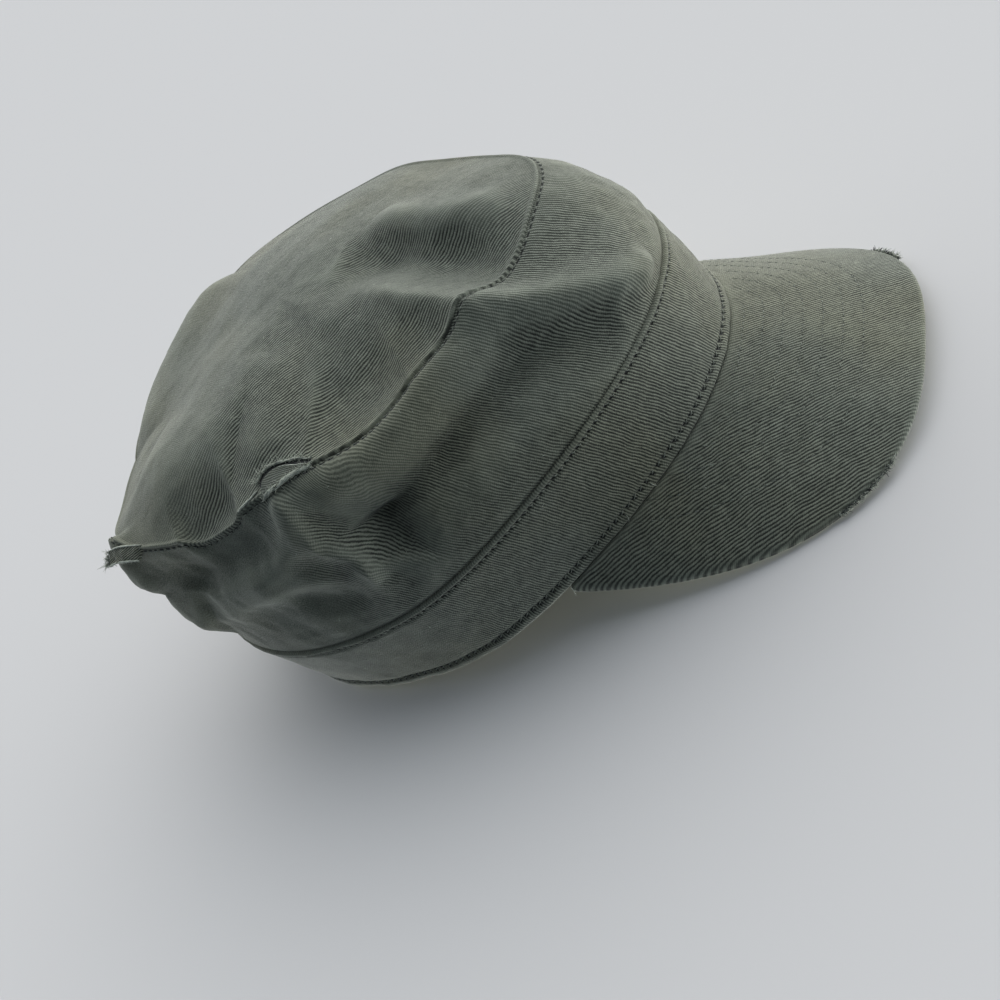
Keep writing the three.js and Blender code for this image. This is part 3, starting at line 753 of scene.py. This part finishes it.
def tubeMesh(name, groups):
    # closed round threads; each group is (paths of threads x stations x 3, radius, sides)
    points, faces, first = [], [], 0
    for paths, radius, sides in groups:
        threads, stations = paths.shape[:2]
        along = unit(np.gradient(paths, axis=1))
        side = unit(np.cross(along, (0.31, 0.17, 0.94)))
        other = np.cross(along, side)
        turn = np.arange(sides) * 2 * math.pi / sides
        thick = radius * (1 - 0.65 * np.linspace(-1, 1, stations) ** 6)[:, None, None]
        ring = side[:, :, None] * np.cos(turn)[:, None] + other[:, :, None] * np.sin(turn)[:, None]
        points.append((paths[:, :, None] + ring * thick).reshape(-1, 3))
        i, j, k = np.meshgrid(np.arange(threads), np.arange(stations - 1), np.arange(sides), indexing="ij")
        base = first + (i * stations + j) * sides
        after = (k + 1) % sides
        faces += np.stack([base + k, base + after, base + sides + after, base + sides + k], -1).reshape(-1, 4).tolist()
        ends = first + np.arange(threads)[:, None] * stations * sides + np.arange(sides)
        faces += ends[:, ::-1].tolist() + (ends + (stations - 1) * sides).tolist()
        first += threads * stations * sides
    mesh = bpy.data.meshes.new(name)
    mesh.from_pydata(toRow(np.concatenate(points)).tolist(), [], faces)
    mesh.shade_smooth()
    return mesh


def onSheet(grid, normals, rowPlace, angle, lift):
    # a place on a closed cloth grid; rowPlace counts rows, angle is in degrees
    count = grid.shape[1]
    column = (np.radians(angle) + math.pi) / (2 * math.pi) * count
    j, i = np.floor(column).astype(int), np.clip(np.floor(rowPlace).astype(int), 0, grid.shape[0] - 2)
    s, t = (column - j)[..., None], (rowPlace - i)[..., None]

    def blend(values):
        low = values[i, j % count] * (1 - s) + values[i, (j + 1) % count] * s
        high = values[i + 1, j % count] * (1 - s) + values[i + 1, (j + 1) % count] * s
        return low * (1 - t) + high * t
    return blend(grid) + unit(blend(normals)) * np.asarray(lift)[..., None]


def onCrown(stations, steps=None):
    # stations are (angle, level, lift); a smooth row of points when steps are given
    table = np.array(stations, float) if steps is None else curveThrough(stations, steps)
    angle, level, lift = table.T
    wallPlace = np.interp(level, wallLevels, np.arange(len(wallLevels)))
    panelPlace = np.interp(level, panelLevels, np.arange(len(panelLevels)))
    onWall = onSheet(wallOuter, wallNormals, wallPlace, angle, lift)
    onPanel = onSheet(panelOuter, panelNormals, panelPlace, angle, lift)
    return np.where(level[:, None] <= 1, onWall, onPanel)


def stitchPaths(line, normals, pitch, length, high, slantTo=None, low=-0.25):
    # one raised thread for each stitch along a row of points
    arc = arcLengths(line, 0)
    middles = np.arange(pitch / 2, arc[-1], pitch)
    draw = np.random.default_rng(len(line))
    middles = middles + draw.uniform(-0.12, 0.12, len(middles))
    places = middles[:, None] + length * np.array([-0.5, -0.3, 0, 0.3, 0.5])
    rise = np.array([low, 0.7 * high, high, 0.7 * high, low])
    path = np.stack([np.interp(places, arc, line[:, axis]) for axis in range(3)], -1)
    out = unit(np.stack([np.interp(places, arc, normals[:, axis]) for axis in range(3)], -1))
    path = path + out * rise[:, None]
    if slantTo is not None:
        aside = np.stack([np.interp(places, arc, slantTo[:, axis]) for axis in range(3)], -1)
        path = path + aside * np.array([-0.5, -0.3, 0, 0.3, 0.5])[:, None]
    return path


def ringClosed(row):
    return np.concatenate([row, row[:1]])


thread = {"radius": 0.17, "color": (0.165, 0.178, 0.150), "pale": (0.36, 0.38, 0.32), "dark": (0.05, 0.055, 0.05)}
threadLook = threadMaterial("sewingThread", thread["color"])
paleLook = threadMaterial("frayedYarn", thread["pale"])
darkLook = threadMaterial("darkYarn", thread["dark"])

# stitches of the top seam, the band and the peak
seamRow = wallOuter.shape[0] - 1 - int(np.searchsorted(toSeam[::-1].mean(1), 1.5))
seamStitches = stitchPaths(ringClosed(wallOuter[seamRow]), ringClosed(wallNormals[seamRow]), 2.85, 1.3, 0.22)
hemRow = int(np.searchsorted(bandHeights, band["hemHeight"] - 0.3))
topRow = int(np.searchsorted(bandHeights, band["height"] - band["topHeight"]))
aside = ringClosed(bandUpward(roundAngles(band["columns"]))) * 0.9
hemStitches = stitchPaths(ringClosed(bandOuter[hemRow]), ringClosed(bandNormals[hemRow]), 2.9, 1.6, 0.3, aside)
topStitches = stitchPaths(ringClosed(bandOuter[topRow]), ringClosed(bandNormals[topRow]), 2.75, 1.5, 0.3, -aside)
crownThread = addPiece("seamStitches", tubeMesh("seamStitches", [(seamStitches, thread["radius"], 6)]),
                       threadLook, "crown_twill")
bandThread = addPiece("bandStitches", tubeMesh("bandStitches", [(hemStitches, thread["radius"], 6),
                                                                (topStitches, thread["radius"], 6)]),
                      threadLook, "band_twill")
peakPaths = []
flatNormal = np.array([0, -math.sin(math.radians(peak["droop"])), math.cos(math.radians(peak["droop"]))])
for step in range(peak["stitchRows"]):
    away = peak["stitchFirst"] + step * peak["stitchSpace"]
    inner = fromEdge[1:, :]
    share = np.array([np.interp(-away, -inner[:, column], np.arange(len(inner)), left=-1) for column in range(inner.shape[1])])
    keep = (share > 3) & (inner[0] > away + 1)
    columns = np.arange(len(share))[keep]
    if len(columns) < 12:
        continue
    i = np.floor(share[keep]).astype(int)
    t = (share[keep] - i)[:, None]
    row = peakTop[1:][i, columns] * (1 - t) + peakTop[1:][np.minimum(i + 1, len(inner) - 1), columns] * t
    peakPaths.append((stitchPaths(row, np.broadcast_to(flatNormal, row.shape), 2.6, 1.5, 0.04), 0.13, 5))
peakThread = addPiece("peakStitches", tubeMesh("peakStitches", peakPaths), threadLook, "peak_twill")
print("stage: stitches")

# open seam at the left side: (angle, level, lift in mm)
tear = {
    "upperLip": [(-92.6, 1.055, 0.3), (-90.5, 1.082, 0.6), (-86.5, 1.09, 0.7), (-81.5, 1.068, 0.75), (-78.5, 1.052, 0.7),
                 (-75.2, 1.024, 0.4)],
    "second": [(-90.4, 1.02, 0.5), (-89.6, 1.044, 0.8), (-87, 1.06, 0.9), (-83, 1.053, 0.9), (-77, 1.004, 0.7)],
    "lowerLip": [(-91.3, 0.974, 0.5), (-87, 0.964, 1.1), (-83, 0.98, 1.2), (-78.5, 0.988, 1.0), (-75.8, 0.992, 0.5)],
    "ridge": [(-92.3, 1.03, 0.3), (-94, 1.02, 0.35), (-96, 1.012, 0.35), (-99.5, 0.999, 0.3)],
    "upperThick": 0.42, "lowerThick": 0.72, "secondThick": 0.22, "ridgeThick": 0.36,
}


def fringePaths(line, outward, count, length, seed, stations=5, spread=0.5):
    draw = np.random.default_rng(seed)
    place = np.sort(draw.uniform(0, len(line) - 1.001, count))
    i = np.floor(place).astype(int)
    t = (place - i)[:, None]
    root = line[i] * (1 - t) + line[i + 1] * t + draw.normal(size=(count, 3)) * 0.12
    out = outward[i] * (1 - t) + outward[i + 1] * t
    reach = length * draw.uniform(0.35, 1.0, count)[:, None, None]
    share = np.linspace(-0.15, 1, stations)[:, None]
    bend = draw.normal(size=(count, 1, 3)) * spread
    return root[:, None] + (unit(out)[:, None] * share + bend * share * np.abs(share)) * reach


lip = {"yarns": 11, "share": 0.4, "fibres": 130, "reach": 1.2}


def lipMesh(name, stations, thick, seed):
    line = onCrown(stations, 40)
    wander = np.cumsum(np.random.default_rng(seed).normal(size=line.shape), 0) * 0.03
    line = line + wander - np.linspace(0, 1, len(line))[:, None] * wander[-1]
    along = unit(np.gradient(line, axis=0))
    outward = unit(np.cross(along, line - panelMiddle))
    above = np.cross(outward, along)
    # a loose bundle of yarns that wind round each other, with fibres standing off both sides
    draw = np.random.default_rng(seed + 7)
    place = np.linspace(0, 1, len(line))[:, None]
    strands = []
    for _ in range(lip["yarns"]):
        start, speed, far = draw.uniform(0, 6.3), draw.uniform(9, 26), thick * draw.uniform(0.35, 0.85)
        strands.append(line + far * (outward * np.cos(start + speed * place) + above * np.sin(start + speed * place)))
    fibres = [fringePaths(line, outward * side, lip["fibres"], lip["reach"], seed + 1 + side, spread=0.8) for side in (1, -1)]
    return tubeMesh(name, [(np.array(strands), thick * lip["share"], 6)] + [(paths, 0.06, 4) for paths in fibres])


upperLip = addPiece("tearUpperLip", lipMesh("tearUpperLip", tear["upperLip"], tear["upperThick"], 51), paleLook, "crown_twill")
lowerLip = addPiece("tearLowerLip", lipMesh("tearLowerLip", tear["lowerLip"], tear["lowerThick"], 61), paleLook, "crown_twill")
thinLines = [(onCrown(tear["second"], 24)[None], tear["secondThick"], 8),
             (onCrown(tear["ridge"], 20)[None], tear["ridgeThick"], 8)]
seamRidge = addPiece("tearFold", tubeMesh("tearFold", thinLines), paleLook, "crown_twill")


def sheetBetween(name, first, second, rows, columns, thick, lift):
    # a thin closed sheet of cloth between two rows of places on the crown
    low, high = onCrown(first, columns), onCrown(second, columns)
    share = np.linspace(0, 1, rows)[:, None, None]
    grid = low + (high - low) * share
    normals = gridNormals(grid, False)
    normals = normals * np.sign((normals * unit(grid - panelMiddle + np.array([0, 0, 20]))).sum(-1, keepdims=True))
    grid = grid + normals * lift
    places = mmGrid(arcLengths(grid, 1), arcLengths(grid, 0))
    return shellMesh(name, grid, grid - normals * thick, places, places, False, {})


patchMesh = sheetBetween("tearLining", tear["lowerLip"], tear["second"], 8, 28, 0.5, 0.3)
# a near-black sheet in the slit between the second edge and the upper lip: painted shadow, not cloth
gapShadowMesh = sheetBetween("tearShadowSheet", tear["second"], tear["upperLip"], 6, 28, 0.3, -0.45)
liningLook = twillMaterial("liningCloth", -20, (), {"groove": (0.07, 0.075, 0.062), "ridge": (0.12, 0.128, 0.105)})
tearLining = addPiece("tearLining", patchMesh, liningLook, "crown_twill")
tearShadowSheet = addPiece("tearShadowSheet", gapShadowMesh, threadMaterial("tearShadow", (0.012, 0.013, 0.012)), "crown_twill")
print("stage: open seam")

# torn corner at the back, lifted off the seam's end: shares of mm in the worn frame
corner = {"at": -139, "outward": 4.8, "down": 3.2, "tipOut": 3.8, "tipUp": -1.5, "thick": 0.9}
cornerAngle = math.radians(corner["at"])
out = radial(np.array([cornerAngle]))[0]
upper = onCrown([(-131, 1.012, 0.4), (-137, 1.005, 0.6), (-141, 1.0, 0.5)])
upper = upper + np.outer([0, 0.35, 1], out * corner["tipOut"] + np.array([0, 0, corner["tipUp"]]))
lower = upper + np.outer([0.9, 0.95, 1], out * corner["outward"] - np.array([0, 0, corner["down"]]))
upper, lower = curveThrough(upper, 20), curveThrough(lower, 20)
share = np.linspace(0, 1, 8)[:, None, None]
flap = upper + (lower - upper) * share
flapNormals = gridNormals(flap, False)
flapNormals = flapNormals * np.sign((flapNormals * out).sum(-1, keepdims=True))
flap = flap + flapNormals * (0.35 * softNoise(flap, 3, 71))[..., None]
flapMm = mmGrid(arcLengths(flap, 1), arcLengths(flap, 0))
flapMesh = shellMesh("cornerFlap", flap, flap - flapNormals * corner["thick"], flapMm, flapMm, False, {})
cornerFlap = addPiece("cornerFlap", flapMesh, twillMaterial("flapTwill", 30), "crown_twill")
tip = np.linspace(0, 1, 8)[:, None] * (lower[-1] - upper[-1]) + upper[-1]
tipOut = np.broadcast_to(out * 0.7 + np.array([0, 0, 0.7]), tip.shape)
cornerYarns = [(upper[None], 0.3, 8), (lower[None], 0.34, 8), (fringePaths(tip, tipOut, 120, 1.2, 72, spread=0.8), 0.07, 4),
               (fringePaths(lower, np.broadcast_to(-out * 0.2 - np.array([0, 0, 0.8]), lower.shape), 60, 0.9, 73), 0.06, 4)]
cornerFray = addPiece("cornerFray", tubeMesh("cornerFray", cornerYarns), paleLook, "crown_twill")

# frayed places of the peak's edge: from turn, to turn, fibres, length, lift
peakFrays = {
    "peakFrayNear": {"from": -0.535, "to": -0.335, "count": 520, "length": 1.15, "rise": 0.1, "seed": 81},
    "peakFrayFar": {"from": 0.33, "to": 0.45, "count": 330, "length": 1.5, "rise": 0.6, "seed": 83},
}
for name, fray in peakFrays.items():
    turnPlaces = np.linspace(fray["from"], fray["to"], 30)
    edge = peakEdge(turnPlaces)
    inward = unit(rimPoint(turnPlaces * math.radians(peak["halfAngle"])) - edge)
    edge = edge + through * 0.8
    lifted = unit(-inward - through * fray["rise"])
    fibres = fringePaths(edge + inward * 0.4, lifted, fray["count"], fray["length"], fray["seed"], 6, 0.6)
    darker = fringePaths(edge + inward * 0.4, lifted, fray["count"], fray["length"] * 0.7, fray["seed"] + 1, 6, 0.7)
    addPiece(name, tubeMesh(name, [(fibres, 0.075, 4)]), paleLook, "peak_twill")
    addPiece(name + "Root", tubeMesh(name + "Root", [(darker, 0.11, 4)]), darkLook, "peak_twill")

# loose thread ends at the band's hem, and lint caught in the twill
# ends: angle, height, drop and swing aside
loose = {"ends": ((-56, 0.6, 3.4, 0.8), (-31, 2.4, 1.6, -0.8), (-38, 2.4, 1.8, 0.9)), "thick": 0.11,
         "wallLint": 150, "panelLint": 150, "bandLint": 70, "lintThick": 0.05}
looseEnds = []
for angle, height, drop, aside in loose["ends"]:
    at = np.radians(np.array([angle]))
    root = bandPoint(at, np.array([height]))[0] + rimOutward(at)[0] * 0.5
    fall = np.array([0, 0, -drop]) + rimOutward(at)[0] * 0.9
    swing = np.cross(rimOutward(at)[0], (0, 0, 1)) * aside
    share = np.linspace(0, 1, 7)[:, None]
    looseEnds.append(root + fall * share + swing * share ** 2)
draw = np.random.default_rng(91)
lintPaths = []
for sheet, normals, count in ((wallOuter, wallNormals, loose["wallLint"]), (panelOuter, panelNormals, loose["panelLint"]),
                              (bandOuter, bandNormals, loose["bandLint"])):
    i, j = draw.integers(8, sheet.shape[0] - 8, count), draw.integers(0, sheet.shape[1], count)
    root, normal = sheet[i, j], normals[i, j]
    course = unit(np.cross(normal, draw.normal(size=(count, 3))))
    curl = np.cross(normal, course)
    share = np.linspace(-0.5, 0.5, 5)[:, None]
    reach = draw.uniform(0.5, 1.7, count)[:, None, None]
    bend = draw.uniform(-0.6, 0.6, count)[:, None, None]
    lintPaths.append(root[:, None] + normal[:, None] * 0.1 + (course[:, None] * share + curl[:, None] * bend * share ** 2) * reach)
looseThreads = addPiece("looseThreads", tubeMesh("looseThreads", [(np.array(looseEnds), loose["thick"], 5)]),
                        paleLook, "band_twill")
lint = addPiece("lint", tubeMesh("lint", [(paths, loose["lintThick"], 3) for paths in lintPaths]), paleLook, "crown_twill")
print("stage: frays and threads")

# camera, floor and light

view = {
    "position": (-314.45, -307.95, 243.38), "right": (0.1758, -0.7167, -0.6749), "up": (0.7766, -0.3203, 0.5425),
    "lens": 53.19,
}
right = restTurn @ np.array(view["right"])
right /= np.linalg.norm(right)
up = restTurn @ np.array(view["up"])
up = up - right * (up @ right)
up /= np.linalg.norm(up)
back = np.cross(right, up)
camera = bpy.data.objects.new("camera", bpy.data.cameras.new("camera"))
camera.data.sensor_width = 36
camera.data.lens = view["lens"]
camera.data.clip_start = 0.01
bpy.context.scene.collection.objects.link(camera)
spot = toRow(np.array(view["position"]))
camera.matrix_world = Matrix([[right[i], up[i], back[i], spot[i]] for i in range(3)] + [[0, 0, 0, 1]])
bpy.context.scene.camera = camera

studio = {
    "lightFrom": (0.94, 0.03, -0.33),    # middle of the soft light, in the row frame
    "low": 0.19, "high": 3.3, "startsAt": -0.3, "power": 0.42,
    "lowColor": (0.74, 0.88, 1.0), "highColor": (1.0, 0.985, 0.95),
    "floorColor": (0.565, 0.55, 0.55), "floorSize": 6,
}
world = bpy.data.worlds.new("studio")
bpy.context.scene.world = world
world.use_nodes = True
sky = Nodes(world.node_tree)
facing = sky.add("ShaderNodeVectorMath", {0: sky.add("ShaderNodeTexCoord").outputs["Generated"],
                                          1: tuple(Vector(studio["lightFrom"]).normalized())},
                 operation="DOT_PRODUCT").outputs["Value"]
share = sky.math("POWER", sky.ramp(facing, studio["startsAt"], 1, kind="LINEAR"), studio["power"])
background = world.node_tree.nodes["Background"]
world.node_tree.links.new(sky.mix(share, studio["lowColor"], studio["highColor"]), background.inputs["Color"])
world.node_tree.links.new(sky.math("MULTIPLY_ADD", share, studio["high"], studio["low"]), background.inputs["Strength"])

floorMesh = bpy.data.meshes.new("floor")
half = studio["floorSize"] / 2
floorMesh.from_pydata([(-half, -half, 0), (half, -half, 0), (half, half, 0), (-half, half, 0)], [], [(0, 1, 2, 3)])
floor = bpy.data.objects.new("floor", floorMesh)
bpy.context.scene.collection.objects.link(floor)
floorPaint = bpy.data.materials.new("paleFloor")
floorPaint.use_nodes = True
floorShader = floorPaint.node_tree.nodes["Principled BSDF"]
floorShader.inputs["Base Color"].default_value = (*studio["floorColor"], 1)
floorShader.inputs["Roughness"].default_value = 1
floorShader.inputs["Specular IOR Level"].default_value = 0
floorMesh.materials.append(floorPaint)
floor.visible_diffuse = False
floor.visible_shadow = False
bpy.context.scene.view_settings.view_transform = "Standard"
print("stage: camera, floor and light")
